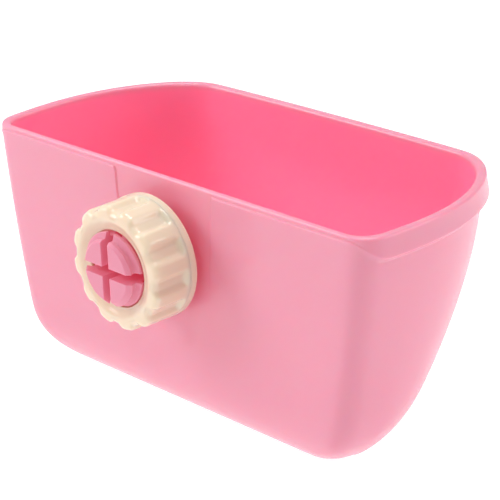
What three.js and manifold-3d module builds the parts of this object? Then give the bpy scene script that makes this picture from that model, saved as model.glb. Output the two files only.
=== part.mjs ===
// A clip-on feeding trough for a small-animal cage: an open scoop-shaped bowl with a flat back wall,
// a split threaded stud that reaches out through the cage wires, and a knurled hand nut with its
// pressure ring, which clamp the bowl to the wires. Millimetres, +Z up.
// Origin: on the stud's axis, in the outer plane of the back wall. -Y points out of the cage towards
// the hand nut, +Y points into the bowl.
import * as THREE from "three";
import { mergeVertices } from "three/addons/utils/BufferGeometryUtils.js";
import Module from "manifold-3d";

const wasm = await Module();
wasm.setup();

// ---- Driving dimensions -------------------------------------------------------------------------
const GAP = 0.3; // running and seating clearance between separate pieces
const BEYOND = 1; // how far a cutter runs past what it cuts

const bowl = {
  rimZ: 23, // height of the rim over the stud's axis
  height: 78.5, // flat underside to rim
  halfWidth: 81.4, // widest half-width of the wall, under the lip
  depth: 74, // back plane to the front wall at the rim
  wall: 2.4,
  endTaper: [6.5, 5.7], // inward lean of the ends over the height: linear and squared share
  endBow: 1.3, // how much the ends swell between their back edge and their widest place
  endRadius: 19, // rounding from the ends into the underside
  backRadius: 16, // rounding from the back wall into the underside
  backCorner: 7.2, // upright corners beside the back wall
  widest: 0.33, // share of the depth at which the bowl is widest
  frontFlat: 0.64, // share of the half-width over which the front wall is straight
  frontTaper: 8,
  scoopStart: 16, // upright part of the front wall, below the rim
  scoopReach: 40, // how far the scooped front runs back under the bowl
  scoopPower: 1.6, // 2 is an ellipse, less is a straighter slope
  rowSpacing: 2.2, // above 1, mesh rows are closer together where the underside is rounded
};
// How the outline's curves leave the points they join, as shares of the length of each.
const curves = {
  steps: [3, 5, 4, 12, 3], // mesh steps along the back, corner, end, shoulder and front
  corner: 0.4477, // a quarter circle
  cornerSwell: 0.2, // share of the end's swell that the corner has already reached
  end: [0.33, 0.4],
  shoulder: [0.56, 0.47],
};
const lip = {
  height: 9.6,
  drip: 6.4, // the lip's lower edge, below the rim
  swell: 2.2, // how far it stands out there
  top: 1.2, // and at the rim
  edge: 0.8, // bevel of the rim's edges
  corner: 4.5,
};
const pads = {
  stripHeight: 1.6, // the plain strip under the rim
  stripDepth: 0.5,
  channelHalf: [21.2, 18.6], // half-width of the channel at the rim and at its lower end
  channelDepth: 0.55,
  channelLength: 34,
};
const thread = {
  pitch: 3.6,
  mean: 10.6,
  rise: 0.9,
  sharpness: 1.6, // above 1 the wave has flat crests and roots
  clearance: 0.5,
  rows: 7, // mesh rows for each turn
  segments: 32,
};
const stud = {
  tipY: -23,
  tipRadius: 9,
  leadIn: 2.6,
  slot: 3,
  slotFloorY: -0.8,
  flats: 9.4, // half the distance across the neck's flats
  headRadius: 16,
  head: 2.2,
  headChamfer: 1,
};
const nut = {
  frontY: -20,
  rearY: -7,
  radius: 19,
  grooves: 12,
  grooveAngle: 26, // degrees, of the first groove
  grooveShare: [0.29, 0.68], // of one pitch of the grip: its flat bottom, and its full width
  grooveDepth: 1.5,
  grooveEndY: -8.2, // where the grooves have run out
  grooveRunOut: 1.6,
  nose: 2.6, // rounding of the front edge
  mouthRadius: 12.9,
  mouthDepth: 1.9,
  mouthSlope: 0.9, // how fast the mouth narrows to the thread behind that depth
  dishRadius: 16,
  dish: 0.8, // the face sinks this much towards the mouth
};
const ring = { rearY: -4.4, frontY: -6.7, radius: 19.1, bore: 13, rounding: 0.7 };

// ---- Solids -------------------------------------------------------------------------------------

// A closed body through a row of rings with equally many points, capped flat at both ends.
function solidThroughRings(rings) {
  const count = rings[0].length;
  const points = rings.flat();
  const faces = [];
  for (let row = 0; row + 1 < rings.length; row++) {
    for (let i = 0; i < count; i++) {
      const a = row * count + i;
      const b = row * count + ((i + 1) % count);
      faces.push(a, b, b + count, a, b + count, a + count);
    }
  }
  for (const [first, turn] of [[0, 1], [(rings.length - 1) * count, 0]]) {
    const hub = points.length;
    const middle = new THREE.Vector3();
    for (let i = 0; i < count; i++) {
      middle.addScaledVector(points[first + i], 1 / count);
    }
    points.push(middle);
    for (let i = 0; i < count; i++) {
      const a = first + i;
      const b = first + ((i + 1) % count);
      faces.push(...(turn ? [b, a, hub] : [a, b, hub]));
    }
  }
  const geometry = new THREE.BufferGeometry().setFromPoints(points);
  geometry.setIndex(faces);
  return outwards(geometry);
}

// Turns a closed indexed geometry right side out.
function outwards(geometry) {
  const at = (i) => new THREE.Vector3().fromBufferAttribute(geometry.attributes.position, i);
  const index = Array.from(geometry.index.array);
  let volume = 0;
  for (let i = 0; i < index.length; i += 3) {
    volume += at(index[i]).dot(at(index[i + 1]).cross(at(index[i + 2])));
  }
  if (volume < 0) {
    geometry.setIndex(index.reverse());
  }
  return geometry;
}

function toManifold(geometry) {
  const plain = geometry.clone();
  plain.deleteAttribute("normal");
  plain.deleteAttribute("uv");
  const merged = mergeVertices(plain, 1e-4);
  const vertProperties = new Float32Array(merged.attributes.position.array);
  const triVerts = new Uint32Array(merged.index.array);
  return new wasm.Manifold(new wasm.Mesh({ numProp: 3, vertProperties, triVerts }));
}

function toGeometry(solid) {
  const mesh = solid.getMesh();
  const geometry = new THREE.BufferGeometry();
  geometry.setAttribute("position", new THREE.BufferAttribute(new Float32Array(mesh.vertProperties), 3));
  geometry.setIndex(new THREE.BufferAttribute(new Uint32Array(mesh.triVerts), 1));
  geometry.computeVertexNormals();
  return geometry;
}

function block(width, depth, height, x, y, z) {
  return toManifold(new THREE.BoxGeometry(width, depth, height).translate(x, y, z));
}

// A turned body about the stud's axis: pairs of [radius, y], from the hand side to the bowl side.
function turned(profile, segments = 64) {
  const points = profile.map(([radius, y]) => new THREE.Vector2(radius, y));
  return outwards(mergeVertices(bare(new THREE.LatheGeometry(points, segments)), 1e-4));
}

function bare(geometry) {
  geometry.deleteAttribute("normal");
  geometry.deleteAttribute("uv");
  return geometry;
}

// A body about the stud's axis whose radius changes with height and angle.
function waved(ys, segments, radiusAt) {
  const rings = ys.map((y) =>
    Array.from({ length: segments }, (_, i) => {
      const angle = (2 * Math.PI * i) / segments;
      const radius = radiusAt(y, angle);
      return new THREE.Vector3(radius * Math.cos(angle), y, radius * Math.sin(angle));
    }),
  );
  return solidThroughRings(rings);
}

function evenly(from, to, steps) {
  return Array.from({ length: steps + 1 }, (_, i) => from + ((to - from) * i) / steps);
}

function piece(name, geometry, color, roughness) {
  const mesh = new THREE.Mesh(geometry, new THREE.MeshStandardMaterial({ color, roughness, metalness: 0 }));
  mesh.name = name;
  return mesh;
}

// ---- Bowl ---------------------------------------------------------------------------------------

// How far a rounding has drawn in at a depth share u from 0 (its start) to 1 (the underside).
function roundedIn(u, reach, power = 2) {
  const share = THREE.MathUtils.clamp(u, 0, 1);
  return reach * (1 - (1 - share ** power) ** (1 / power));
}

// Half an outline of the bowl at height z, from the middle of the back to the middle of the front.
// inset is 0 outside and the wall's thickness inside; swell pushes the ends and front outwards.
function halfOutline(z, inset, swell, backCorner) {
  const floorZ = bowl.rimZ - bowl.height + inset;
  const below = bowl.rimZ - z;
  const share = below / bowl.height;
  const lean = bowl.endTaper[0] * share + bowl.endTaper[1] * share * share;
  const endR = bowl.endRadius - inset;
  const backR = bowl.backRadius - inset;
  const wide = bowl.halfWidth - inset + swell - lean - roundedIn((floorZ + endR - z) / endR, endR);
  const scoop = bowl.height - inset - bowl.scoopStart;
  const scooped = roundedIn((below - bowl.scoopStart) / scoop, bowl.scoopReach - inset, bowl.scoopPower);
  const front = bowl.depth - inset + swell - bowl.frontTaper * share - scooped;
  const back = inset + roundedIn((floorZ + backR - z) / backR, backR);
  const near = wide - bowl.endBow;
  const widestY = back + Math.max(bowl.widest * (front - back), backCorner + 0.5);
  const flatX = wide * bowl.frontFlat;
  const p = (x, y) => new THREE.Vector2(x, y);

  const cornerStart = p(near - backCorner, back);
  const cornerEnd = p(near + bowl.endBow * curves.cornerSwell, back + backCorner);
  const widest = p(wide, widestY);
  const frontStart = p(flatX, front);
  const run = widestY - cornerEnd.y;
  const cornerHandles = [
    p(near - backCorner * curves.corner, back),
    p(near, back + backCorner * curves.corner),
  ];
  const endHandles = [
    p((cornerEnd.x + wide) / 2, cornerEnd.y + run * curves.end[0]),
    p(wide, widestY - run * curves.end[1]),
  ];
  const frontHandles = [
    p(wide, widestY + curves.shoulder[0] * (front - widestY)),
    p(flatX + curves.shoulder[1] * (wide - flatX), front),
  ];
  const pieces = [
    new THREE.LineCurve(p(0, back), cornerStart),
    new THREE.CubicBezierCurve(cornerStart, ...cornerHandles, cornerEnd),
    new THREE.CubicBezierCurve(cornerEnd, ...endHandles, widest),
    new THREE.CubicBezierCurve(widest, ...frontHandles, frontStart),
    new THREE.LineCurve(frontStart, p(0, front)),
  ];
  return pieces.flatMap((curve, i) => curve.getPoints(curves.steps[i]).slice(i ? 1 : 0));
}

function bowlRing(z, inset = 0, swell = 0, backCorner = bowl.backCorner) {
  const half = halfOutline(z, inset, swell, backCorner);
  const mirrored = half.slice(1, -1).reverse();
  return [
    ...half.map((q) => new THREE.Vector3(q.x, q.y, z)),
    ...mirrored.map((q) => new THREE.Vector3(-q.x, q.y, z)),
  ];
}

// Heights from the underside (z = low) up to high.
function risingHeights(low, high, steps) {
  return evenly(0, 1, steps).map((t) => low + (high - low) * t ** bowl.rowSpacing);
}

function bowlShell() {
  const low = bowl.rimZ - bowl.height;
  const outside = risingHeights(low, bowl.rimZ - lip.height, 15).map((z) => bowlRing(z));
  const inside = risingHeights(low + bowl.wall, bowl.rimZ - lip.edge, 16).map((z) =>
    bowlRing(z, bowl.wall, 0, bowl.backCorner - bowl.wall),
  );
  const lipRings = [
    bowlRing(bowl.rimZ - lip.drip, 0, lip.swell, lip.corner),
    bowlRing(bowl.rimZ - lip.edge, 0, lip.top, lip.corner),
    bowlRing(bowl.rimZ, lip.edge * 0.7, lip.top, lip.corner),
    bowlRing(bowl.rimZ, bowl.wall - lip.edge * 0.5, 0, bowl.backCorner - bowl.wall),
  ];
  return toManifold(solidThroughRings([...outside, ...lipRings, ...inside.reverse()]));
}

// The cut that leaves a raised pad on each side of the stud: a strip along the rim, and a channel
// down the middle that grows shallower until it meets the wall.
function padCuts() {
  const strip = block(
    3 * bowl.halfWidth,
    pads.stripDepth + BEYOND,
    pads.stripHeight + BEYOND,
    0,
    (pads.stripDepth - BEYOND) / 2,
    bowl.rimZ + (BEYOND - pads.stripHeight) / 2,
  );
  const level = (z, half, depth) => [
    new THREE.Vector3(-half, -BEYOND, z),
    new THREE.Vector3(half, -BEYOND, z),
    new THREE.Vector3(half, depth, z),
    new THREE.Vector3(-half, depth, z),
  ];
  const channel = solidThroughRings([
    level(bowl.rimZ + BEYOND, pads.channelHalf[0], pads.channelDepth),
    level(bowl.rimZ - pads.channelLength, pads.channelHalf[1], 0),
  ]);
  return toManifold(channel).add(strip);
}

// The stud's neck: a round with two flats, which keep the stud from turning in the wall.
function neck(radius, flats, fromY, toY) {
  const round = toManifold(turned([[0, fromY], [radius, fromY], [radius, toY], [0, toY]]));
  const length = toY - fromY;
  return round.intersect(block(2 * flats, length + BEYOND, 3 * radius, 0, (fromY + toY) / 2, 0));
}

function feederBowl() {
  const neckRadius = thread.mean + thread.rise;
  const hole = neck(neckRadius + GAP, stud.flats + GAP, -BEYOND, bowl.wall + BEYOND);
  return bowlShell().subtract(padCuts()).subtract(hole);
}

// ---- Stud and nut -------------------------------------------------------------------------------

// Radius of the thread's wave: a right-hand helix about -Y, shared by the stud and the nut.
function threadRadius(y, angle) {
  const phase = (2 * Math.PI * -y) / thread.pitch - angle;
  const wave = THREE.MathUtils.clamp(thread.sharpness * Math.sin(phase), -1, 1);
  return thread.mean + thread.rise * wave;
}

function splitStud() {
  const steps = Math.round((-stud.tipY / thread.pitch) * thread.rows);
  const threaded = waved(evenly(stud.tipY, 0, steps), thread.segments, (y, angle) => {
    const slope = (thread.mean + thread.rise - stud.tipRadius) / stud.leadIn;
    return Math.min(threadRadius(y, angle), stud.tipRadius + (y - stud.tipY) * slope);
  });
  const headY = bowl.wall + GAP;
  const head = turned([
    [0, headY],
    [stud.headRadius, headY],
    [stud.headRadius, headY + stud.head - stud.headChamfer],
    [stud.headRadius - stud.headChamfer, headY + stud.head],
    [0, headY + stud.head],
  ]);
  const across = 4 * thread.mean;
  const slotLength = stud.slotFloorY - stud.tipY + BEYOND;
  const slotY = stud.slotFloorY - slotLength / 2;
  return toManifold(threaded)
    .add(neck(thread.mean + thread.rise, stud.flats, -GAP, headY + GAP))
    .add(toManifold(head))
    .subtract(block(stud.slot, slotLength, across, 0, slotY, 0))
    .subtract(block(across, slotLength, stud.slot, 0, slotY, 0));
}

// 1 in the middle of a grip groove, 0 on the lands, with soft shoulders.
function grooveAt(angle) {
  const pitch = (2 * Math.PI) / nut.grooves;
  const turns = (angle - THREE.MathUtils.degToRad(nut.grooveAngle)) / pitch;
  const off = Math.abs(turns - Math.round(turns)) * 2; // 0 mid-groove, 1 mid-land
  return 1 - THREE.MathUtils.smoothstep(off, nut.grooveShare[0], nut.grooveShare[1]);
}

function clampNut() {
  const noseYs = evenly(0, 1, 4).map((t) => nut.frontY + nut.nose * (1 - Math.cos((t * Math.PI) / 2)));
  const ys = [...noseYs, ...evenly(noseYs.at(-1), nut.grooveEndY - nut.grooveRunOut, 2).slice(1)];
  ys.push(nut.grooveEndY - nut.grooveRunOut / 2, nut.grooveEndY - nut.grooveRunOut / 8);
  ys.push(nut.grooveEndY, nut.rearY);
  const outside = waved(ys, nut.grooves * 8, (y, angle) => {
    const fromFront = (y - nut.frontY) / nut.nose;
    const rounding = fromFront < 1 ? nut.nose * (1 - Math.sqrt(1 - (1 - fromFront) ** 2)) : 0;
    const runOut = THREE.MathUtils.clamp((nut.grooveEndY - y) / nut.grooveRunOut, 0, 1);
    return nut.radius - rounding - nut.grooveDepth * grooveAt(angle) * Math.sqrt(1 - (1 - runOut) ** 2);
  });
  const steps = Math.round(((nut.rearY - nut.frontY) / thread.pitch) * thread.rows);
  const boreYs = evenly(nut.frontY - GAP, nut.rearY + GAP, steps);
  const bore = waved(boreYs, thread.segments, (y, angle) => {
    const mouth = nut.mouthRadius - (y - nut.frontY - nut.mouthDepth) * nut.mouthSlope;
    const countersink = y < nut.frontY + nut.mouthDepth ? nut.mouthRadius : mouth;
    return Math.max(threadRadius(y, angle) + thread.clearance, countersink);
  });
  const dish = turned([
    [0, nut.frontY - BEYOND],
    [nut.dishRadius, nut.frontY - BEYOND],
    [nut.dishRadius, nut.frontY],
    [nut.mouthRadius, nut.frontY + nut.dish],
    [0, nut.frontY + nut.dish],
  ]);
  return toManifold(outside).subtract(toManifold(bore)).subtract(toManifold(dish));
}

function pressureRing() {
  const { rearY, frontY, radius, bore, rounding } = ring;
  const half = rounding / 2;
  return turned([
    [bore, frontY],
    [radius - half, frontY],
    [radius, frontY + half],
    [radius, rearY - rounding],
    [radius - rounding, rearY],
    [bore, rearY],
    [bore, frontY],
  ]);
}

// ---- Assembly -----------------------------------------------------------------------------------
const PINK = 0xf3a0b6;
const CREAM = 0xefe3d0;

const feeder = new THREE.Group();
feeder.add(piece("feeder_bowl", toGeometry(feederBowl()), PINK, 0.22));
feeder.add(piece("split_stud", toGeometry(splitStud()), PINK, 0.3));

const handNut = new THREE.Group();
handNut.add(piece("clamp_nut", toGeometry(clampNut()), CREAM, 0.3));
handNut.add(piece("pressure_ring", pressureRing(), CREAM, 0.3));
feeder.add(handNut);

export default feeder;
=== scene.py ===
# %% [markdown]
# # A clip-on feeding trough for a small-animal cage
# The trough hangs on the cage wires. A split threaded stud reaches out between the wires, and a
# cream hand nut with a pressure ring clamps them against the flat back wall. This lesson loads the
# measured model as a fixed frame, then rebuilds each piece as a smooth moulded surface around it,
# and gives each plastic its finish.

import math

import bmesh
import bpy
from mathutils import Matrix, Vector


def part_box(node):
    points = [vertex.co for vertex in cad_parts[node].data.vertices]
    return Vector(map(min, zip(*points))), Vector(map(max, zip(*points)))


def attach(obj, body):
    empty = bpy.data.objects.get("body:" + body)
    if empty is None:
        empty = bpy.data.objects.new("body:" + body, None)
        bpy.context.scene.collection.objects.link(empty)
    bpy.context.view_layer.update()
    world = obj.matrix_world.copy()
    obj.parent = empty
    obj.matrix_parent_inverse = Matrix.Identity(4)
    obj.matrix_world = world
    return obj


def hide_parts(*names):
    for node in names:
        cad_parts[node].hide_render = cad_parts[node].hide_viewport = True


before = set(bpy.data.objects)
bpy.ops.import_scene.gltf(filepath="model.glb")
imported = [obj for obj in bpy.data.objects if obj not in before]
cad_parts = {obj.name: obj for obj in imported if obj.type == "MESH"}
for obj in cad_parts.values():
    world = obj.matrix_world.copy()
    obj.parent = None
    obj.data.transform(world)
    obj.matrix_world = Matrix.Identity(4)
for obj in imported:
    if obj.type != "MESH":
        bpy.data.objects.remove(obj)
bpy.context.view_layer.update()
print("frame:", sorted(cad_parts))

# %% [markdown]
# Every size below is in metres, so a millimetre gets its own name. Operators in Blender act on
# whatever is selected, so each step starts from an empty selection.

# %% Small helpers
MM = 0.001
QUARTER_TURN = math.radians(90)


def smoothstep(value, low, high):
    """0 below low, 1 above high, and an even S between them."""
    share = min(max((value - low) / (high - low), 0.0), 1.0)
    return share * share * (3 - 2 * share)


def start_clean():
    """Leaves edit mode and selects nothing."""
    if bpy.context.object and bpy.context.object.mode != "OBJECT":
        bpy.ops.object.mode_set(mode="OBJECT")
    bpy.ops.object.select_all(action="DESELECT")


def make_active(piece):
    """Selects one piece alone."""
    start_clean()
    piece.select_set(True)
    bpy.context.view_layer.objects.active = piece
    return piece


def named(name):
    """Names the piece that an operator has just added, and its mesh."""
    piece = bpy.context.object
    piece.name = name
    piece.data.name = name
    return piece


def apply_modifier(piece, kind, **settings):
    """Adds a modifier, sets it up and applies it at once."""
    make_active(piece)
    modifier = piece.modifiers.new(kind.lower(), kind)
    for key, value in settings.items():
        setattr(modifier, key, value)
    bpy.ops.object.modifier_apply(modifier=modifier.name)
    return piece


def combine(piece, cutter, operation):
    """Boolean of two pieces. The cutter is used up."""
    apply_modifier(piece, "BOOLEAN", object=cutter, operation=operation, solver="EXACT")
    bpy.data.objects.remove(cutter, do_unlink=True)
    return piece


def mend(piece):
    """Merges doubled points and turns every face outwards."""
    make_active(piece)
    bpy.ops.object.mode_set(mode="EDIT")
    bpy.ops.mesh.select_all(action="SELECT")
    bpy.ops.mesh.remove_doubles(threshold=1e-6)
    bpy.ops.mesh.normals_make_consistent(inside=False)
    bpy.ops.object.mode_set(mode="OBJECT")
    return piece


def apply_place(piece):
    """Moves the object's place into its mesh, so that the object sits at the origin."""
    make_active(piece)
    bpy.ops.object.transform_apply(location=True, rotation=True, scale=True)
    return piece


def report(piece):
    """Prints how large the mesh is."""
    triangles = sum(len(face.vertices) - 2 for face in piece.data.polygons)
    print(f"{piece.name}: {len(piece.data.vertices)} points, {triangles} triangles")


# %% [markdown]
# The camera comes first, so that every later choice can be judged in the view. It looks at the
# back wall from the right and a little above. A long lens a half metre away keeps the upright
# edges nearly parallel. The camera's three axes are worked out from its bearing, height and roll.

# %% Camera
CAMERA_AZIMUTH = math.radians(46.17)
CAMERA_ELEVATION = math.radians(22.08)
CAMERA_ROLL = math.radians(-2.15)
CAMERA_DISTANCE = 0.5493
CAMERA_LENS = 136.25
CAMERA_AIM = Vector((0.02340, 0.01241, 0.00228))


def add_camera():
    back = Vector((
        math.sin(CAMERA_AZIMUTH) * math.cos(CAMERA_ELEVATION),
        -math.cos(CAMERA_AZIMUTH) * math.cos(CAMERA_ELEVATION),
        math.sin(CAMERA_ELEVATION),
    ))
    level = Vector((0, 0, 1)).cross(back).normalized()
    upward = back.cross(level)
    right = level * math.cos(CAMERA_ROLL) + upward * math.sin(CAMERA_ROLL)
    up = back.cross(right)
    bpy.ops.object.camera_add()
    camera = bpy.context.object
    camera.name = "studio_camera"
    camera.matrix_world = Matrix.Translation(CAMERA_AIM + back * CAMERA_DISTANCE) @ Matrix(
        (right, up, back)
    ).transposed().to_4x4()
    camera.data.lens = CAMERA_LENS
    camera.data.sensor_width = 36
    bpy.context.scene.camera = camera
    return camera


start_clean()
camera = add_camera()
print("camera at", [round(v, 3) for v in camera.location])

# %% [markdown]
# ## The bowl
# The real bowl is one thin injection moulding. A plan outline is drawn once as a formula: straight
# back, soft back corners, slightly bowed ends and a rounded front. The same outline at many heights
# makes the outside, the lip, the rim and the inside. It could also be carved from a block, but rings
# give clean rows of four-sided faces, which a subdivision surface turns into a smooth glossy wall.

# %% Sizes of the bowl
low_corner, high_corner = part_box("feeder_bowl")
RIM = high_corner.z
FLOOR = low_corner.z
HEIGHT = RIM - FLOOR
LIP_STANDS_OUT = 1.6 * MM
HALF_WIDTH = high_corner.x - LIP_STANDS_OUT
DEPTH = high_corner.y - LIP_STANDS_OUT - 0.05 * MM
WALL = 2.4 * MM
print(f"bowl: half width {HALF_WIDTH:.4f}, depth {DEPTH:.4f}, height {HEIGHT:.4f}")

BACK_CORNER = 7.2 * MM
INNER_CORNER = 6.8 * MM
LIP_TOP = 0.5 * MM
END_TAPER = (6.5 * MM, 5.7 * MM)  # how far an end leans in: an even share and a growing one
END_BOW = 1.3 * MM
CORNER_BOW = 0.2 * END_BOW  # the part of the bow that lies in the corner itself
END_HANDLES = (0.5, 0.33, 0.4)  # the end's curve: out and along at the corner, back at the widest point
END_RADIUS = 19 * MM
BACK_RADIUS = 16 * MM
FRONT_TAPER = 8 * MM
SCOOP_START = 16 * MM
SCOOP_REACH = 40 * MM
SCOOP_POWER = 1.6
WIDEST = 0.33
FRONT_FLAT = 0.64
SHOULDER = (0.56, 0.47)  # how far the curve's two handles reach towards the square corner
ROUND_HANDLE = 0.5523  # the handle length that makes a cubic curve a quarter of a circle
FRONT_BOW = 0.7 * MM
STRIP_HEIGHT = 1.6 * MM
STRIP_DEPTH = 0.5 * MM
CHANNEL_HALF = (20.8 * MM, 18.6 * MM)
CHANNEL_LENGTH = 34 * MM
CHANNEL_DEPTH = 0.55 * MM
EDGE = 0.14 * MM  # half of the rounding at the edge of a pad
BESIDE_EDGE = 5 * EDGE  # the next point on either side
PAD_CORNER = 1.2 * MM


# %% The outline at one height
def rounded_in(share, reach, power=2.0):
    """How far a rounding has drawn in at a depth share from 0 to 1."""
    share = min(max(share, 0.0), 1.0)
    return reach * (1 - (1 - share**power) ** (1 / power))


def bezier(p0, p1, p2, p3, steps):
    """Points along a cubic curve, without the first."""
    points = []
    for i in range(1, steps + 1):
        t = i / steps
        weights = ((1 - t) ** 3, 3 * t * (1 - t) ** 2, 3 * t * t * (1 - t), t**3)
        weighted = list(zip(weights, (p0, p1, p2, p3)))
        points.append(tuple(sum(w * p[axis] for w, p in weighted) for axis in (0, 1)))
    return points


def back_points(z, back, end_x, inside):
    """The back wall from its middle to its corner, with the channel and the strip outside."""
    below = RIM - z
    channel = CHANNEL_HALF[0] + (CHANNEL_HALF[1] - CHANNEL_HALF[0]) * min(below / CHANNEL_LENGTH, 1)
    if below > STRIP_HEIGHT:
        channel += rounded_in(1 - (below - STRIP_HEIGHT) / PAD_CORNER, PAD_CORNER)
    sunk = CHANNEL_DEPTH * max(0.0, 1 - below / CHANNEL_LENGTH)
    strip = STRIP_DEPTH if below < STRIP_HEIGHT else 0.0
    if inside:
        sunk = strip = 0.0
    sunk = max(sunk, strip)
    inner = [0, channel * 0.5, channel - BESIDE_EDGE, channel - EDGE]
    outer = [channel + EDGE, channel + BESIDE_EDGE, (channel + end_x) * 0.5, channel * 0.2 + end_x * 0.8]
    points = [(x, back + sunk) for x in inner]
    points += [(x, back + strip) for x in outer]
    points.append((end_x, back + strip))
    return points


def half_outline(z, inset=0.0, swell=0.0, corner=BACK_CORNER):
    """Half the bowl's outline at a height, from the middle of the back to the middle of the front."""
    floor = FLOOR + inset
    below = RIM - z
    share = below / HEIGHT
    lean = END_TAPER[0] * share + END_TAPER[1] * share * share
    end_radius = END_RADIUS - inset
    back_radius = BACK_RADIUS - inset
    underside = rounded_in((floor + end_radius - z) / end_radius, end_radius)
    wide = HALF_WIDTH - inset + swell - lean - underside
    scoop = HEIGHT - inset - SCOOP_START
    scooped = rounded_in((below - SCOOP_START) / scoop, SCOOP_REACH - inset, SCOOP_POWER)
    front = DEPTH - inset + swell - FRONT_TAPER * share - scooped
    back = inset + rounded_in((floor + back_radius - z) / back_radius, back_radius)
    near = wide - END_BOW
    widest_y = back + max(WIDEST * (front - back), corner + 0.5 * MM)
    flat_x = wide * FRONT_FLAT
    handle = corner * (1 - ROUND_HANDLE)
    corner_end = (near + CORNER_BOW, back + corner)
    run = widest_y - corner_end[1]

    points = back_points(z, back, near - corner, inset > WALL / 2)
    start = points[-1]
    points += bezier(
        start, (near - handle, start[1]), (near, back + handle), corner_end, 5
    )
    points += bezier(
        corner_end,
        (corner_end[0] + (wide - corner_end[0]) * END_HANDLES[0], corner_end[1] + run * END_HANDLES[1]),
        (wide, widest_y - run * END_HANDLES[2]),
        (wide, widest_y),
        4,
    )
    points += bezier(
        (wide, widest_y),
        (wide, widest_y + SHOULDER[0] * (front - widest_y)),
        (flat_x + SHOULDER[1] * (wide - flat_x), front),
        (flat_x, front),
        12,
    )
    points += [(flat_x * t, front + FRONT_BOW * (1 - t * t)) for t in (2 / 3, 1 / 3, 0)]
    return points


def outline(*shape, **options):
    """The whole outline, as points in order round the bowl."""
    half = half_outline(*shape, **options)
    return half + [(-x, y) for x, y in reversed(half[1:-1])]


print("points round the bowl:", len(outline(RIM)))


# %% [markdown]
# The rows run up the outside, over the rounded rim and down the inside. Two rows close together hold
# an edge crisp when the surface is subdivided later. One such pair is the edge of the pads on the
# back wall, and the same pair sinks lower round the corners, where it becomes the drip edge of the
# lip along the ends and the front. So each row here has two depths: one for the back, one for the lip.

# %% Rows from the underside up and over the rim
# Depth under the rim at the back and at the lip, and how far the lip stands out, in millimetres.
LIP_ROWS = (
    (5.6, 9.6, 0.0),
    (4.4, 8.8, 0.0),
    (3.6, 8.3, 0.0),
    (2.9, 7.9, 0.05),
    (2.3, 7.2, 0.75),
    (1.9, 6.8, 1.25),
    (1.74, 6.55, 1.52),
    (1.46, 6.25, 1.6),
    (1.34, 5.8, 1.5),
    (1.2, 4.0, 1.1),
    (1.1, 1.7, 0.6),
)
# Depth under the rim and distance in from the outside, in millimetres.
RIM_ROWS = ((0.95, 0.0), (0.55, 0.12), (0.24, 0.36), (0.06, 0.7), (0.0, 1.05))
INNER_RIM_ROWS = ((0.0, 1.5), (0.08, 1.85), (0.3, 2.15), (0.7, 2.34), (1.2, 2.4))
LIP_BEGINS = (9, 13)  # the points of the outline, counted from the back's middle
WALL_TOP = 10.4 * MM  # depth of the highest row under the lip
WALL_LIFT = 3.6 * MM  # how much higher that row lies on the back wall
WALL_LIFT_LENGTH = 14 * MM
WALL_ROWS = 18
INSIDE_TOP = 3 * MM  # depth of the highest row inside, under the rounded rim
INSIDE_ROWS = 22


def lip_share(index, count):
    """How much a point of the outline belongs to the lip: 0 on the back wall, 1 past its corners."""
    from_back = min(index, count - index)
    return smoothstep(from_back, *LIP_BEGINS)


def bowl_row(below_back, below_lip, inset=0.0, swell=0.0, corner=BACK_CORNER):
    """A row that lies at one depth along the back wall and at another along the lip."""
    back = outline(RIM - below_back, inset=inset, corner=corner)
    lip = outline(RIM - below_lip, inset=inset, swell=swell, corner=corner)
    points = []
    for index, (a, b) in enumerate(zip(back, lip)):
        share = lip_share(index, len(back))
        start = Vector((*a, RIM - below_back))
        points.append(start.lerp(Vector((*b, RIM - below_lip)), share))
    return points


def rising(low, high, steps):
    """Heights from low to high, closer together where the underside is rounded."""
    return [low + (high - low) * (i / steps) ** 2.0 for i in range(steps + 1)]


def bowl_rows():
    """All the bowl's rows: outside, lip, rim and inside."""
    rows = []
    for z in rising(FLOOR, RIM - WALL_TOP, WALL_ROWS):
        below = RIM - z
        lift = WALL_LIFT * max(0.0, 1 - (below - WALL_TOP) / WALL_LIFT_LENGTH)
        rows.append(bowl_row(below - lift, below))
    for below_back, below_lip, swell in LIP_ROWS:
        rows.append(bowl_row(below_back * MM, below_lip * MM, swell=swell * MM))
    for below, inset in RIM_ROWS:
        rows.append(bowl_row(below * MM, below * MM, inset=inset * MM, swell=LIP_TOP))
    for below, inset in INNER_RIM_ROWS:
        rows.append(bowl_row(below * MM, below * MM, inset=inset * MM, corner=INNER_CORNER))
    for z in reversed(rising(FLOOR + WALL, RIM - INSIDE_TOP, INSIDE_ROWS)):
        rows.append(bowl_row(RIM - z, RIM - z, inset=WALL, corner=INNER_CORNER))
    return rows


print("rows:", len(bowl_rows()))


# %% [markdown]
# The piece starts as a circle with as many points as the outline. In edit mode its face is extruded
# once for each row, and the new ring is set to that row's outline: up the outside, over the rim and
# down the inside, which leaves no seam. The flat faces left at both ends are inset, which keeps them
# flat when the surface is subdivided. The flat under the bowl is narrow, so its insets cross at the ends.

# %% Extrude a face through rows of points
def bearing(vertex):
    """How far round from the back a point lies, going towards +X."""
    return (math.atan2(vertex.co.y, vertex.co.x) + math.pi / 2 + 1e-4) % (2 * math.pi)


def place_ring(ring, points):
    """Puts each vertex of a ring on its point."""
    for vertex, point in zip(ring, points):
        vertex.co = point


def extrude_rows(piece, ring, rows):
    """Extrudes what is selected once for each row, and sets the new ring to the row's points."""
    for points in rows:
        before = [vertex.co.to_tuple() for vertex in ring]
        bpy.ops.mesh.extrude_region_move()
        mesh = bmesh.from_edit_mesh(piece.data)
        lifted = {v.co.to_tuple(): v for v in mesh.verts if v.select}
        ring = [lifted[place] for place in before]
        place_ring(ring, points)


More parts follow.
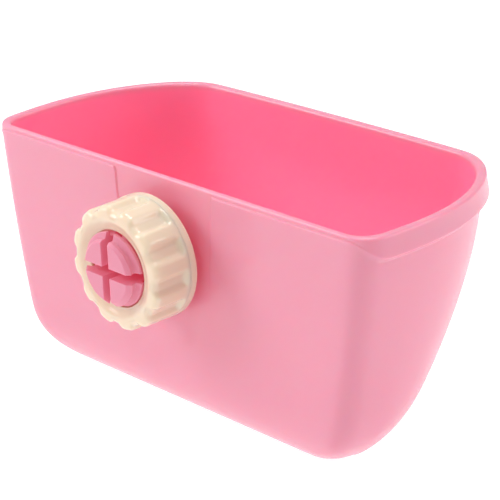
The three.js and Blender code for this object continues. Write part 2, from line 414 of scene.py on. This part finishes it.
def select_faces(piece, wanted):
    """Selects the faces for which wanted(face) is true, in edit mode."""
    bpy.ops.mesh.select_all(action="DESELECT")
    bpy.ops.mesh.select_mode(type="FACE")
    mesh = bmesh.from_edit_mesh(piece.data)
    for face in mesh.faces:
        face.select_set(wanted(face))
    bmesh.update_edit_mesh(piece.data)


def select_edges(piece, wanted):
    """Selects the edges for which wanted(edge) is true, in edit mode."""
    bpy.ops.mesh.select_mode(type="EDGE")
    bpy.ops.mesh.select_all(action="DESELECT")
    mesh = bmesh.from_edit_mesh(piece.data)
    for edge in mesh.edges:
        edge.select_set(wanted(edge))
    bmesh.update_edit_mesh(piece.data)


# %% Extrude the bowl
BASE_INSET = 1.2 * MM


def build_bowl():
    """The bowl as one skin, with its two flat ends inset twice."""
    start_clean()
    solid_rows = bowl_rows()
    bpy.ops.mesh.primitive_circle_add(vertices=len(solid_rows[0]), radius=DEPTH / 2, fill_type="NGON")
    piece = named("bowl")
    bpy.ops.object.mode_set(mode="EDIT")
    bpy.ops.mesh.select_mode(type="VERT")
    mesh = bmesh.from_edit_mesh(piece.data)
    ring = sorted(mesh.verts, key=bearing)
    place_ring(ring, solid_rows[0])
    bpy.ops.mesh.select_all(action="SELECT")
    extrude_rows(piece, ring, solid_rows[1:])
    for _ in ("outer inset", "inner inset"):
        select_faces(piece, lambda face: len(face.verts) > 4 and abs(face.normal.z) > 0.9)
        bpy.ops.mesh.inset(thickness=BASE_INSET)
    bpy.ops.object.mode_set(mode="OBJECT")
    mend(piece)
    return piece


bowl = build_bowl()
apply_modifier(bowl, "SUBSURF", levels=2, render_levels=2)
report(bowl)

# %% [markdown]
# ## The hole for the stud
# The stud's neck is a round with two flats, so that it can't turn in the wall. The same shape, a
# little larger, cuts the hole. The cutter is a cylinder whose sides are cut flat by two bisects in
# edit mode.

# %% Cut the hole
GAP = 0.3 * MM
CREST = 11.5 * MM
FLATS = 9.4 * MM
NECK_BACK = WALL + GAP


def add_cylinder(name, radius, from_y, to_y, vertices=96):
    """A cylinder along the stud's axis."""
    start_clean()
    bpy.ops.mesh.primitive_cylinder_add(
        vertices=vertices,
        radius=radius,
        depth=to_y - from_y,
        location=(0, (from_y + to_y) / 2, 0),
        rotation=(QUARTER_TURN, 0, 0),
    )
    return apply_place(named(name))


def cut_flat(piece, point, normal):
    """Cuts away what lies beyond a plane, and closes the cut."""
    make_active(piece)
    bpy.ops.object.mode_set(mode="EDIT")
    bpy.ops.mesh.select_mode(type="VERT")
    bpy.ops.mesh.select_all(action="SELECT")
    bpy.ops.mesh.bisect(plane_co=point, plane_no=normal, use_fill=True, clear_outer=True)
    bpy.ops.object.mode_set(mode="OBJECT")
    return piece


def add_neck(name, spare, from_y, to_y):
    """A round bar with two flats, grown by a clearance."""
    neck = add_cylinder(name, CREST + spare, from_y, to_y)
    for side in (-1, 1):
        cut_flat(neck, (side * (FLATS + spare), 0, 0), (side, 0, 0))
    return neck


BEYOND = 5 * MM  # how far the cutter reaches past the wall
combine(bowl, add_neck("hole_cutter", GAP, -BEYOND, NECK_BACK + BEYOND), "DIFFERENCE")
make_active(bowl)
bpy.ops.object.shade_smooth_by_angle(angle=math.radians(35))
report(bowl)

# %% [markdown]
# The inside of the bowl is painted a deeper pink than the outside. This is painted bounce light: it
# stands for the light that bounces between the real bowl's walls and gains colour each time. Each point
# of the mesh keeps a number for how far inside it lies, which the material reads later to paint that
# colour.

# %% Mark the points for the painted bounce light
BOUNCE_FACING_FADE = (0.0, 0.35)
BOUNCE_RIM_FADE = (0.2 * MM, 3 * MM)


def mark_painted_bounce(piece, middle):
    """Stores 1 on points that face the middle of the bowl, fading out towards the rim: the strength of
    the painted bounce light.
    """
    inside = piece.data.attributes.new("inside", "FLOAT", "POINT")
    for vertex, mark in zip(piece.data.vertices, inside.data):
        facing = vertex.normal.dot((middle - vertex.co).normalized())
        depth = RIM - vertex.co.z
        mark.value = smoothstep(facing, *BOUNCE_FACING_FADE) * smoothstep(depth, *BOUNCE_RIM_FADE)


middle_of_bowl = Vector((0, DEPTH * 0.45, RIM - 5 * MM))
# painted bounce light: these marks make the pink material a deeper pink on the inside walls
mark_painted_bounce(bowl, middle_of_bowl)
print("points marked as inside:", sum(mark.value > 0.5 for mark in bowl.data.attributes["inside"].data))

# %% [markdown]
# ## The split stud
# A coarse thread is a ridge wound round a core. The ridge's section is drawn as a small flat face,
# and the Screw modifier winds it up the stud, as a lathe would. Both bodies are closed, so a boolean
# can weld them. A cone trims the tip, and two crossing slots split it into four springy prongs.

# %% Wind the thread
low_corner, high_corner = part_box("split_stud")
TIP = low_corner.y
HEAD_END = high_corner.y
HEAD_RADIUS = high_corner.x
PITCH = 3.6 * MM
ROOT = 9.7 * MM
CREST_HALF = 0.52 * MM
FLANK = 0.78 * MM
TIP_RADIUS = 9.0 * MM
LEAD_IN = 2.6 * MM
SLOT = 3.0 * MM
SLOT_FLOOR = -0.8 * MM
TURNS = 8
LAST_CREST = PITCH - 0.9 * MM
BURIED = 0.5 * MM  # how far the ridge reaches into the core
NECK_OVERLAP = 0.4 * MM  # how far the neck reaches into the bar and the head
OVERSIZE = 1 * MM  # how much wider the trimming envelope starts


def wound_ridge(root, crest, turns, last_crest):
    """A closed ridge wound about the stud's axis, whose last crest is at a given place."""
    start_clean()
    middle = (root - BURIED + crest) / 2
    bpy.ops.mesh.primitive_plane_add(size=1, location=(middle, last_crest - turns * PITCH, 0))
    ridge = named("ridge")
    bpy.ops.transform.resize(value=(crest - root + BURIED, 2 * (CREST_HALF + FLANK), 1))
    apply_place(ridge)
    bpy.ops.object.mode_set(mode="EDIT")
    mesh = bmesh.from_edit_mesh(ridge.data)
    for vertex in mesh.verts:
        vertex.select_set(vertex.co.x > root)
    mesh.select_flush_mode()
    bmesh.update_edit_mesh(ridge.data)
    bpy.ops.transform.resize(value=(1, CREST_HALF / (CREST_HALF + FLANK), 1))
    bpy.ops.mesh.select_all(action="SELECT")
    bpy.ops.mesh.delete(type="ONLY_FACE")
    bpy.ops.object.mode_set(mode="OBJECT")
    apply_modifier(
        ridge, "SCREW", axis="Y", angle=2 * math.pi, screw_offset=PITCH, iterations=turns,
        steps=48, render_steps=48,
    )
    bpy.ops.object.mode_set(mode="EDIT")
    bpy.ops.mesh.select_all(action="SELECT")
    bpy.ops.mesh.fill_holes(sides=0)
    bpy.ops.object.mode_set(mode="OBJECT")
    return mend(ridge)


def tip_envelope():
    """A round bar with a tapered tip, longer than the stud at the other end."""
    wide = CREST + OVERSIZE
    bar = add_cylinder("envelope", wide, TIP, 2 * MM, vertices=128)
    bpy.ops.object.mode_set(mode="EDIT")
    select_faces(bar, lambda face: face.normal.y < -0.9)
    reach = LEAD_IN * (wide - TIP_RADIUS) / (CREST - TIP_RADIUS)
    bpy.ops.transform.translate(value=(0, reach, 0))
    bpy.ops.mesh.extrude_region_move(TRANSFORM_OT_translate={"value": (0, -reach, 0)})
    shrink = TIP_RADIUS / wide
    bpy.ops.transform.resize(value=(shrink, 1, shrink))
    bpy.ops.object.mode_set(mode="OBJECT")
    return mend(bar)


def add_block(name, size, centre):
    """A plain block."""
    start_clean()
    bpy.ops.mesh.primitive_cube_add(size=1, location=centre, scale=size)
    return apply_place(named(name))


def threaded_bar(name, spare=0.0):
    """A bar with the stud's thread, grown by a clearance."""
    bar = add_cylinder(name, ROOT + spare, TIP - 4 * MM, 0.5 * MM)
    return combine(bar, wound_ridge(ROOT + spare, CREST + spare, TURNS, LAST_CREST), "UNION")


stud = threaded_bar("stud")
report(stud)

# %% Trim the tip, slot it and add the head
combine(stud, tip_envelope(), "INTERSECT")
slot_length = SLOT_FLOOR - TIP + 1 * MM
slot_middle = SLOT_FLOOR - slot_length / 2
slot_width = 4 * CREST
slot_place = (0, slot_middle, 0)
upright_slot = add_block("slot_upright", (SLOT, slot_length, slot_width), slot_place)
combine(stud, upright_slot, "DIFFERENCE")
level_slot = add_block("slot_level", (slot_width, slot_length, SLOT), slot_place)
combine(stud, level_slot, "DIFFERENCE")
cut_flat(stud, (0, 0, 0), (0, 1, 0))
combine(stud, add_neck("neck", 0, -NECK_OVERLAP, NECK_BACK + NECK_OVERLAP), "UNION")


def add_head():
    """The round head inside the bowl, with a rounded rim."""
    head = add_cylinder("head", HEAD_RADIUS, NECK_BACK, HEAD_END, vertices=128)
    bpy.ops.object.mode_set(mode="EDIT")
    select_faces(head, lambda face: face.normal.y > 0.9)
    bpy.ops.mesh.bevel(offset=1.0 * MM, segments=4)
    bpy.ops.object.mode_set(mode="OBJECT")
    return head


combine(stud, add_head(), "UNION")
report(stud)

# %% [markdown]
# A moulding has no knife edges. A voxel remesh rebuilds the welded stud as one even skin, and a few
# rounds of smoothing take the sharpness off every edge at once, which bevels could not do where the
# thread runs out into a slot. A decimate then thins the flat parts.

# %% Soften the stud
apply_modifier(stud, "REMESH", mode="VOXEL", voxel_size=0.17 * MM)
apply_modifier(stud, "SMOOTH", factor=0.5, iterations=4)
apply_modifier(stud, "DECIMATE", ratio=0.3)
make_active(stud)
bpy.ops.object.shade_smooth()
report(stud)

# %% [markdown]
# ## The hand nut
# The nut is cream plastic with twelve soft grooves for the fingers. Its outside, its dished face and
# its threaded bore are one surface, whose radius depends on the place along the axis and on the
# angle. So it is drawn like the bowl, as a ring of points extruded row by row, and bridged to its
# own start at the end. Cutting the grooves with booleans would leave creases that the soft real
# grooves don't have.

# %% Sizes of the nut
low_corner, high_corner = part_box("clamp_nut")
NUT_FRONT = low_corner.y
NUT_REAR = high_corner.y
NUT_RADIUS = 19 * MM
GROOVES = 12
GROOVE_ANGLE = math.radians(26)
GROOVE_SHARE = (0.26, 0.66)
GROOVE_DEPTH = 1.35 * MM
GROOVE_END = -8.2 * MM
GROOVE_RUN_OUT = 1.8 * MM
NOSE = 2.1 * MM
MOUTH_RADIUS = 11.5 * MM
MOUTH_DEPTH = 1.9 * MM
DISH_RADIUS = 15.6 * MM
DISH = 1.3 * MM
MOUTH_SLOPE = 0.9
MOUTH_EDGE = (0.3 * MM, 0.25 * MM)  # the depths of two rows that round the edge of the mouth
CLEARANCE = 0.5 * MM
THREAD_FLATNESS = 1.6  # above 1 the wave's tops and bottoms are cut off flat
GRIP_START = -8.1 * MM
REAR_BEVEL = 0.04 * MM
NUT_POINTS = 180
GRIP_ROWS = 8
BORE_ROWS = 44
# Radii of the rings on the front face, in millimetres.
FACE_RADII = (16.0, 15.5, 15.0, 14.5, 14.0, 13.5, 13.0, 12.5, 12.1, 11.8)


def groove_at(angle):
    """1 on the bottom of a groove, 0 on the lands between."""
    turns = (angle - GROOVE_ANGLE) / (2 * math.pi / GROOVES)
    return 1 - smoothstep(abs(turns - round(turns)) * 2, *GROOVE_SHARE)


def thread_radius(y, angle):
    """The same wave as the stud's thread: a right-hand screw about -Y."""
    wave = THREAD_FLATNESS * math.sin(2 * math.pi * -y / PITCH - angle)
    return (ROOT + CREST) / 2 + (CREST - ROOT) / 2 * min(max(wave, -1), 1)


def grip_radius(y, angle):
    """The outside, where a groove fades out towards the rear like the end of a cutter's path."""
    run_out = min(max((GROOVE_END - y) / GROOVE_RUN_OUT, 0), 1)
    return NUT_RADIUS - GROOVE_DEPTH * groove_at(angle) * math.sqrt(1 - (1 - run_out) ** 2)


def bore_radius(y, angle):
    """The thread, opened out by a countersink at the mouth."""
    mouth = MOUTH_RADIUS - max(0, y - NUT_FRONT - MOUTH_DEPTH) * MOUTH_SLOPE
    return max(thread_radius(y, angle) + CLEARANCE, mouth)


# %% Rows of the nut
def stepped(start, stop, count):
    """Evenly spaced values after start, up to and with stop."""
    return [start + (stop - start) * (i + 1) / count for i in range(count)]


def nut_ring(y, radius_at):
    """A ring of points about the stud's axis."""
    points = []
    for i in range(NUT_POINTS):
        angle = 2 * math.pi * i / NUT_POINTS
        radius = radius_at(y, angle)
        points.append(Vector((radius * math.cos(angle), y, radius * math.sin(angle))))
    return points


def nose_ring(turn):
    """A ring on the rounded front edge: turn runs from 0 on the grip to 90 degrees on the face."""
    y = NUT_FRONT + NOSE * (1 - math.sin(turn))
    return nut_ring(y, lambda _, angle: grip_radius(y, angle) - NOSE * (1 - math.cos(turn)))


def face_ring(radius):
    """A ring on the front face, which dips and then steps down to the mouth."""
    dip = DISH * smoothstep(DISH_RADIUS - radius, 0, DISH_RADIUS - MOUTH_RADIUS - 0.6 * MM)
    return nut_ring(NUT_FRONT + dip, lambda _, angle: radius)


def nut_rows():
    """All the nut's rows: rear edge, grip, nose, face and bore."""
    grip = [NUT_REAR - REAR_BEVEL, NUT_REAR - 3 * REAR_BEVEL, GRIP_START + 0.4 * MM]
    grip += stepped(GRIP_START, GROOVE_END - GROOVE_RUN_OUT, 6)
    grip += stepped(grip[-1], NUT_FRONT + NOSE + 0.6 * MM, GRIP_ROWS)
    rows = [nut_ring(NUT_REAR, lambda y, angle: NUT_RADIUS - REAR_BEVEL)]
    rows += [nut_ring(y, grip_radius) for y in grip]
    rows += [nose_ring(turn) for turn in stepped(0, QUARTER_TURN, 7)]
    rows += [face_ring(radius * MM) for radius in FACE_RADII]
    edge_y = NUT_FRONT + DISH + MOUTH_EDGE[0]
    bore = [edge_y, edge_y + MOUTH_EDGE[1]] + stepped(edge_y + MOUTH_EDGE[1], NUT_REAR, BORE_ROWS)
    rows += [nut_ring(y, bore_radius) for y in bore]
    return rows


print("rows of the nut:", len(nut_rows()))


# %% Extrude the nut
def build_nut():
    """The nut as one closed tube of rows, bridged to its own start."""
    start_clean()
    rows = nut_rows()
    bpy.ops.mesh.primitive_circle_add(
        vertices=NUT_POINTS, radius=NUT_RADIUS, location=(0, NUT_REAR, 0), rotation=(QUARTER_TURN, 0, 0)
    )
    piece = apply_place(named("nut"))
    bpy.ops.object.mode_set(mode="EDIT")
    bpy.ops.mesh.select_mode(type="VERT")
    mesh = bmesh.from_edit_mesh(piece.data)
    full_turn = 2 * math.pi
    ring = sorted(mesh.verts, key=lambda v: (math.atan2(v.co.z, v.co.x) + 1e-4) % full_turn)
    place_ring(ring, rows[0])
    bpy.ops.mesh.select_all(action="SELECT")
    extrude_rows(piece, ring, rows[1:])
    select_edges(piece, lambda edge: edge.is_boundary)
    bpy.ops.mesh.bridge_edge_loops()
    bpy.ops.object.mode_set(mode="OBJECT")
    return mend(piece)


nut = build_nut()
apply_modifier(nut, "SUBSURF", levels=1, render_levels=1)
make_active(nut)
bpy.ops.object.shade_smooth_by_angle(angle=math.radians(40))
report(nut)

# %% [markdown]
# ## The pressure ring
# The ring sits behind the nut and presses on the cage wires. Its section is drawn once, as a flat
# face beside the axis. Its corners are rounded, so that the ring catches a thin line of light like
# any moulded edge, and then it is spun round the axis.

# %% Spin the ring
low_corner, high_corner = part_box("pressure_ring")
RING_RADIUS = NUT_RADIUS
RING_BORE = 13 * MM
RING_FRONT = NUT_REAR + 0.02 * MM
RING_REAR = high_corner.y
RING_STEPS = 160
RING_BEVELS = ((0.04 * MM, RING_FRONT), (0.5 * MM, RING_REAR))


def build_pressure_ring():
    """The ring, spun from its section."""
    start_clean()
    middle = (RING_RADIUS + RING_BORE) / 2
    bpy.ops.mesh.primitive_plane_add(size=1, location=(middle, (RING_FRONT + RING_REAR) / 2, 0))
    piece = named("press_ring")
    bpy.ops.transform.resize(value=(RING_RADIUS - RING_BORE, RING_REAR - RING_FRONT, 1))
    apply_place(piece)
    bpy.ops.object.mode_set(mode="EDIT")
    bpy.ops.mesh.select_mode(type="VERT")
    for offset, wanted_y in RING_BEVELS:
        mesh = bmesh.from_edit_mesh(piece.data)
        for vertex in mesh.verts:
            vertex.select_set(abs(vertex.co.y - wanted_y) < 0.01 * MM)
        mesh.select_flush_mode()
        bmesh.update_edit_mesh(piece.data)
        bpy.ops.mesh.bevel(offset=offset, segments=4, affect="VERTICES")
    bpy.ops.mesh.select_all(action="SELECT")
    bpy.ops.mesh.delete(type="ONLY_FACE")
    bpy.ops.mesh.select_all(action="SELECT")
    bpy.ops.mesh.spin(
        steps=RING_STEPS, angle=2 * math.pi, center=(0, 0, 0), axis=(0, 1, 0), use_auto_merge=True
    )
    bpy.ops.object.mode_set(mode="OBJECT")
    return mend(piece)


press_ring = build_pressure_ring()
make_active(press_ring)
bpy.ops.object.shade_smooth_by_angle(angle=math.radians(40))
report(press_ring)

# %% [markdown]
# Each new piece now takes the place of its measured node, and rides on that node's body, so that it
# moves when the nut is turned.

# %% Ride on the bodies
ROLES = (
    (bowl, "feeder_bowl", "feeder", "bowl_plastic"),
    (stud, "split_stud", "feeder", "stud_plastic"),
    (nut, "clamp_nut", "nut", "nut_plastic"),
    (press_ring, "pressure_ring", "ring", "nut_plastic"),
)
for piece, node, body, slot in ROLES:
    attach(piece, body)
    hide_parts(node)
print("placed:", ", ".join(piece.name for piece, *_ in ROLES))

# %% [markdown]
# ## Finishes
# Two effects are shared by every plastic here, so each is a node group with named inputs. The first
# is the flow of the melt in the mould: broad, faint clouds of lighter and darker colour. The second
# is the skin of a moulding: a very fine grain, with a few long shallow scuffs from handling.

# %% Helpers for shader nodes
def socket(group, name, kind, in_out, default=None):
    """Adds a named input or output to a node group."""
    item = group.interface.new_socket(name=name, in_out=in_out, socket_type=kind)
    if default is not None:
        item.default_value = default
    return item


def add_node(tree, kind, **settings):
    """Adds a node. Settings that name an input set its value, and the others set the node itself."""
    node = tree.nodes.new(kind)
    for key, value in settings.items():
        name = key.replace("_", " ")
        if name in node.inputs:
            node.inputs[name].default_value = value
        else:
            setattr(node, key, value)
    return node


def math_node(tree, operation, first, second):
    """A Math node. Each operand is a number or another node's output."""
    node = tree.nodes.new("ShaderNodeMath")
    node.operation = operation
    for slot, value in zip(node.inputs, (first, second)):
        if isinstance(value, (int, float)):
            slot.default_value = value
        else:
            tree.links.new(value, slot)
    return node.outputs[0]


# %% Group: flow clouds in the colour
def build_flow_clouds():
    group = bpy.data.node_groups.new("flow_clouds", "ShaderNodeTree")
    socket(group, "Colour", "NodeSocketColor", "INPUT", (1, 1, 1, 1))
    socket(group, "Deep Colour", "NodeSocketColor", "INPUT", (1, 1, 1, 1))
    socket(group, "Scale", "NodeSocketFloat", "INPUT", 40.0)
    socket(group, "Amount", "NodeSocketFloat", "INPUT", 0.5)
    socket(group, "Colour", "NodeSocketColor", "OUTPUT")
    start = add_node(group, "NodeGroupInput")
    end = add_node(group, "NodeGroupOutput")
    place = add_node(group, "ShaderNodeTexCoord")
    clouds = add_node(group, "ShaderNodeTexNoise", Detail=3.0, Roughness=0.5, Distortion=0.6)
    mix = add_node(group, "ShaderNodeMix", data_type="RGBA")
    links = group.links
    links.new(place.outputs["Object"], clouds.inputs["Vector"])
    links.new(start.outputs["Scale"], clouds.inputs["Scale"])
    amount = math_node(group, "MULTIPLY", clouds.outputs["Fac"], start.outputs["Amount"])
    links.new(amount, mix.inputs["Factor"])
    links.new(start.outputs["Colour"], mix.inputs["A"])
    links.new(start.outputs["Deep Colour"], mix.inputs["B"])
    links.new(mix.outputs["Result"], end.inputs["Colour"])
    return group


# %% Group: the skin of a moulding
def build_moulded_skin():
    group = bpy.data.node_groups.new("moulded_skin", "ShaderNodeTree")
    socket(group, "Roughness", "NodeSocketFloat", "INPUT", 0.3)
    socket(group, "Variation", "NodeSocketFloat", "INPUT", 0.1)
    socket(group, "Grain Scale", "NodeSocketFloat", "INPUT", 2500.0)
    socket(group, "Scuffs", "NodeSocketFloat", "INPUT", 0.2)
    socket(group, "Roughness", "NodeSocketFloat", "OUTPUT")
    socket(group, "Height", "NodeSocketFloat", "OUTPUT")
    start = add_node(group, "NodeGroupInput")
    end = add_node(group, "NodeGroupOutput")
    place = add_node(group, "ShaderNodeTexCoord")
    stretch = add_node(group, "ShaderNodeMapping", Scale=(1.0, 1.0, 9.0), Rotation=(0.0, 0.6, 0.0))
    grain = add_node(group, "ShaderNodeTexNoise", Detail=2.0)
    smears = add_node(group, "ShaderNodeTexNoise", Scale=160.0, Detail=4.0)
    scuffs = add_node(group, "ShaderNodeTexNoise", Scale=240.0, Detail=2.0)
    links = group.links
    links.new(place.outputs["Object"], grain.inputs["Vector"])
    links.new(place.outputs["Object"], smears.inputs["Vector"])
    links.new(place.outputs["Object"], stretch.inputs["Vector"])
    links.new(stretch.outputs["Vector"], scuffs.inputs["Vector"])
    links.new(start.outputs["Grain Scale"], grain.inputs["Scale"])
    spread = math_node(group, "SUBTRACT", smears.outputs["Fac"], 0.5)
    spread = math_node(group, "MULTIPLY", spread, start.outputs["Variation"])
    links.new(math_node(group, "ADD", spread, start.outputs["Roughness"]), end.inputs["Roughness"])
    lines = math_node(group, "GREATER_THAN", scuffs.outputs["Fac"], 0.68)
    lines = math_node(group, "MULTIPLY", lines, start.outputs["Scuffs"])
    links.new(math_node(group, "SUBTRACT", grain.outputs["Fac"], lines), end.inputs["Height"])
    return group


flow_clouds = build_flow_clouds()
moulded_skin = build_moulded_skin()
print("groups:", flow_clouds.name, moulded_skin.name)

# %% [markdown]
# Each plastic is one Principled shader. Light sinks a little way into a thin pink wall before it
# comes back, so it has some subsurface scattering. A faint steady red stands for the light that comes
# through the wall from behind, so shadows and slots glow a deeper pink. The cream nut is glossier.
# Their constants are set on the shader itself.

# %% The plastics
def linear(red, green, blue):
    """A screen colour, 0 to 255 a channel, as the linear values that shaders use."""
    def channel(value):
        value /= 255
        return value / 12.92 if value <= 0.04045 else ((value + 0.055) / 1.055) ** 2.4
    return (channel(red), channel(green), channel(blue), 1.0)


def make_plastic(name, colour, deep, clouds, skin, inside=None, **shader):
    """One plastic, built from both groups. Inside is a painted bounce-light colour for points marked as
    inside.
    """
    material = bpy.data.materials.new(name)
    material.use_nodes = True
    tree = material.node_tree
    tree.nodes.clear()
    plastic = add_node(tree, "ShaderNodeBsdfPrincipled", **shader)
    output = add_node(tree, "ShaderNodeOutputMaterial")
    tint = add_node(tree, "ShaderNodeGroup", node_tree=flow_clouds)
    surface = add_node(tree, "ShaderNodeGroup", node_tree=moulded_skin)
    bump = add_node(tree, "ShaderNodeBump", Distance=0.00002, Strength=skin["bump"])
    tint.inputs["Colour"].default_value = colour
    tint.inputs["Deep Colour"].default_value = deep
    tint.inputs["Scale"].default_value = clouds["scale"]
    tint.inputs["Amount"].default_value = clouds["amount"]
    surface.inputs["Roughness"].default_value = skin["roughness"]
    surface.inputs["Variation"].default_value = skin["variation"]
    surface.inputs["Scuffs"].default_value = skin["scuffs"]
    links = tree.links
    # painted bounce light: the inside colour is mixed in where the bowl's points are marked as inside
    if inside:
        mark = add_node(tree, "ShaderNodeAttribute", attribute_name="inside")
        mix = add_node(tree, "ShaderNodeMix", data_type="RGBA")
        mix.inputs["B"].default_value = inside
        links.new(mark.outputs["Fac"], mix.inputs["Factor"])
        links.new(tint.outputs["Colour"], mix.inputs["A"])
        links.new(mix.outputs["Result"], plastic.inputs["Base Color"])
    else:
        links.new(tint.outputs["Colour"], plastic.inputs["Base Color"])
    links.new(surface.outputs["Roughness"], plastic.inputs["Roughness"])
    links.new(surface.outputs["Height"], bump.inputs["Height"])
    links.new(bump.outputs["Normal"], plastic.inputs["Normal"])
    links.new(plastic.outputs["BSDF"], output.inputs["Surface"])
    return material


RED_GLOW = (1.0, 0.03, 0.07, 1)  # the light that has passed through the pink plastic
pink_plastic = make_plastic(
    "glossy_pink",
    (0.60, 0.325, 0.425, 1),
    (0.59, 0.295, 0.39, 1),
    {"scale": 30.0, "amount": 0.6},
    {"roughness": 0.24, "variation": 0.1, "scuffs": 0.12, "bump": 0.2},
    # painted bounce light: a deeper, redder pink on the inside walls
    inside=(0.8, 0.26, 0.43, 1),
    Emission_Color=RED_GLOW,
    Emission_Strength=0.2,
    Subsurface_Weight=0.8,
    Subsurface_Radius=(1.0, 0.12, 0.2),
    Subsurface_Scale=0.005,
    IOR=1.49,
    Specular_IOR_Level=0.5,
)
stud_plastic = make_plastic(
    "satin_pink",
    (0.57, 0.275, 0.37, 1),
    (0.56, 0.245, 0.34, 1),
    {"scale": 120.0, "amount": 0.6},
    {"roughness": 0.42, "variation": 0.12, "scuffs": 0.1, "bump": 0.4},
    Emission_Color=RED_GLOW,
    Emission_Strength=0.22,
    Subsurface_Weight=0.35,
    Subsurface_Radius=(1.0, 0.3, 0.4),
    Subsurface_Scale=0.003,
    IOR=1.49,
)
cream_plastic = make_plastic(
    "glossy_cream",
    linear(238, 221, 198),
    linear(233, 210, 184),
    {"scale": 90.0, "amount": 0.7},
    {"roughness": 0.14, "variation": 0.08, "scuffs": 0.1, "bump": 0.12},
    Subsurface_Weight=0.6,
    Subsurface_Radius=(1.0, 0.7, 0.5),
    Subsurface_Scale=0.003,
    IOR=1.5,
)
PLASTICS = ((bowl, pink_plastic), (stud, stud_plastic), (nut, cream_plastic), (press_ring, cream_plastic))
for piece, material in PLASTICS:
    piece.data.materials.clear()
    piece.data.materials.append(material)
print("materials:", [material.name for material in bpy.data.materials if material.use_nodes])

# %% [markdown]
# ## The studio
# The trough stands on a plain pale floor, which shines a little, so that it stays white everywhere.
# An even sky fills the shadows. Large soft lamps on the left, on the right and above give the broad,
# dim highlights of glossy plastic, and one small lamp adds the sparks on the nut's edges.

# %% Floor, lamps and sky
def add_floor():
    """A wide white floor just under the trough."""
    start_clean()
    bpy.ops.mesh.primitive_plane_add(size=6, location=(0, 0, FLOOR - 0.2 * MM))
    floor = apply_place(named("studio_floor"))
    material = bpy.data.materials.new("floor_paper")
    material.use_nodes = True
    shader = material.node_tree.nodes["Principled BSDF"]
    shader.inputs["Base Color"].default_value = (0.3, 0.3, 0.3, 1)
    shader.inputs["Roughness"].default_value = 0.9
    shader.inputs["Specular IOR Level"].default_value = 0.0
    shader.inputs["Emission Color"].default_value = (1, 1, 1, 1)
    shader.inputs["Emission Strength"].default_value = 0.88
    floor.data.materials.append(material)
    return floor


def add_lamp(name, place, aim, size, power):
    """A square lamp, turned towards the place it lights."""
    start_clean()
    bpy.ops.object.light_add(type="AREA", location=place)
    lamp = bpy.context.object
    lamp.name = name
    lamp.data.size = size
    lamp.data.energy = power
    lamp.rotation_euler = (Vector(aim) - Vector(place)).to_track_quat("-Z", "Y").to_euler()
    return lamp


def add_sky(strength):
    """An even white sky."""
    world = bpy.data.worlds.new("studio_sky")
    bpy.context.scene.world = world
    world.use_nodes = True
    sky = world.node_tree.nodes["Background"]
    sky.inputs["Color"].default_value = (1, 1, 1, 1)
    sky.inputs["Strength"].default_value = strength


floor = add_floor()
add_lamp("left_lamp", (-0.9, -0.8, 0.7), (0, 0, 0), 0.7, 9)
add_lamp("right_lamp", (1.0, 0.8, 0.5), (0.05, 0.03, 0), 0.7, 5)
add_lamp("top_lamp", (-0.1, 0.2, 1.1), (0, 0.04, 0), 0.6, 7)
add_lamp("spark_lamp", (0.35, -0.8, 0.9), (0, 0, 0), 0.1, 1.2)
add_sky(0.4)
bpy.context.scene.view_settings.view_transform = "Standard"
bpy.context.scene.view_settings.look = "None"
